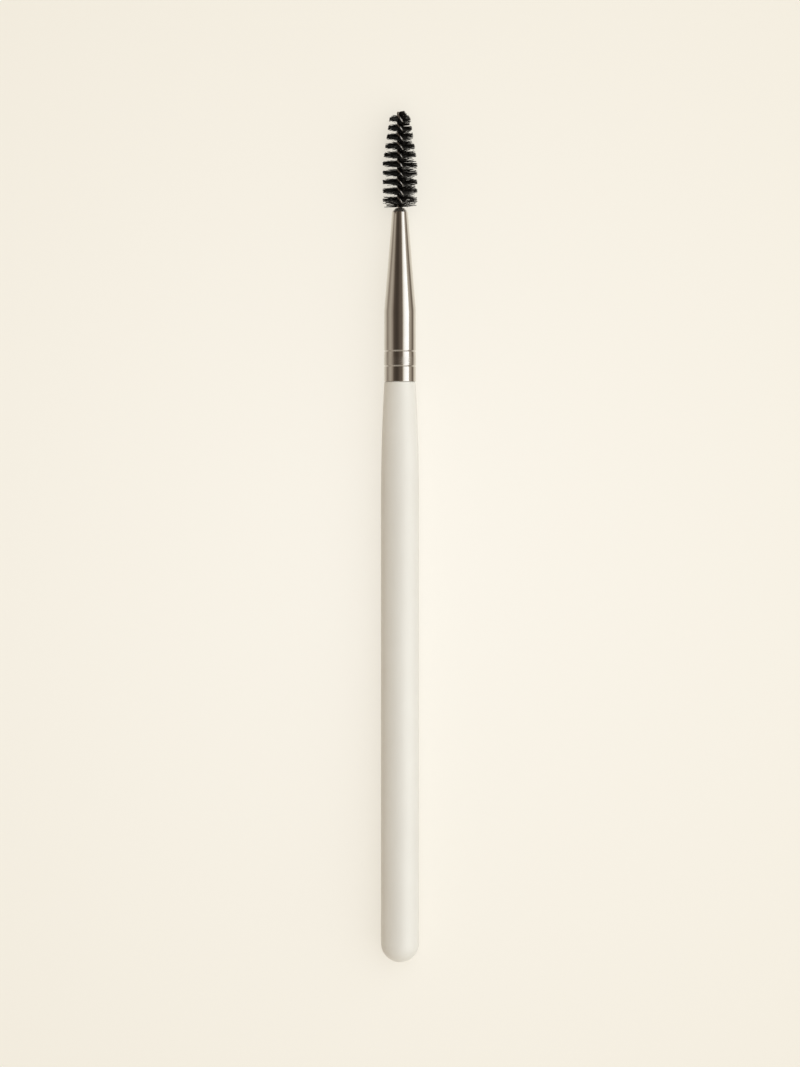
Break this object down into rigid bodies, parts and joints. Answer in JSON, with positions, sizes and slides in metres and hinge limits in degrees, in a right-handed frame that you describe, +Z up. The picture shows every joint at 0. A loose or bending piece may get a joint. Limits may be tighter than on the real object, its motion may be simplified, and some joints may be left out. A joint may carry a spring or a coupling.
{
  "type": "eyebrow brush",
  "caption": "Slim eyebrow spoolie: tapered off-white handle, conical metal ferrule and a spiral head of trimmed black bristles on a twisted wire.",
  "frame": {"origin": "on the surface that the brush lies on, under the middle of its length", "axes": "+Y along the brush towards the bristles, +Z up from the surface, X across the brush"},
  "size_m": [0.0076, 0.17, 0.0076],
  "materials": {
    "lacquered_wood": "matte off-white lacquer",
    "ferrule_metal": "satin polish",
    "wire_steel": "drawn and bright",
    "nylon_bristle": "matte",
    "resin": "cured"
  },
  "bodies": {
    "root": {"handle": "lacquered_wood", "ferrule": "ferrule_metal", "resin_plug": "resin", "twisted_wire": "wire_steel", "bristles": "nylon_bristle"}
  },
  "joints": []
}
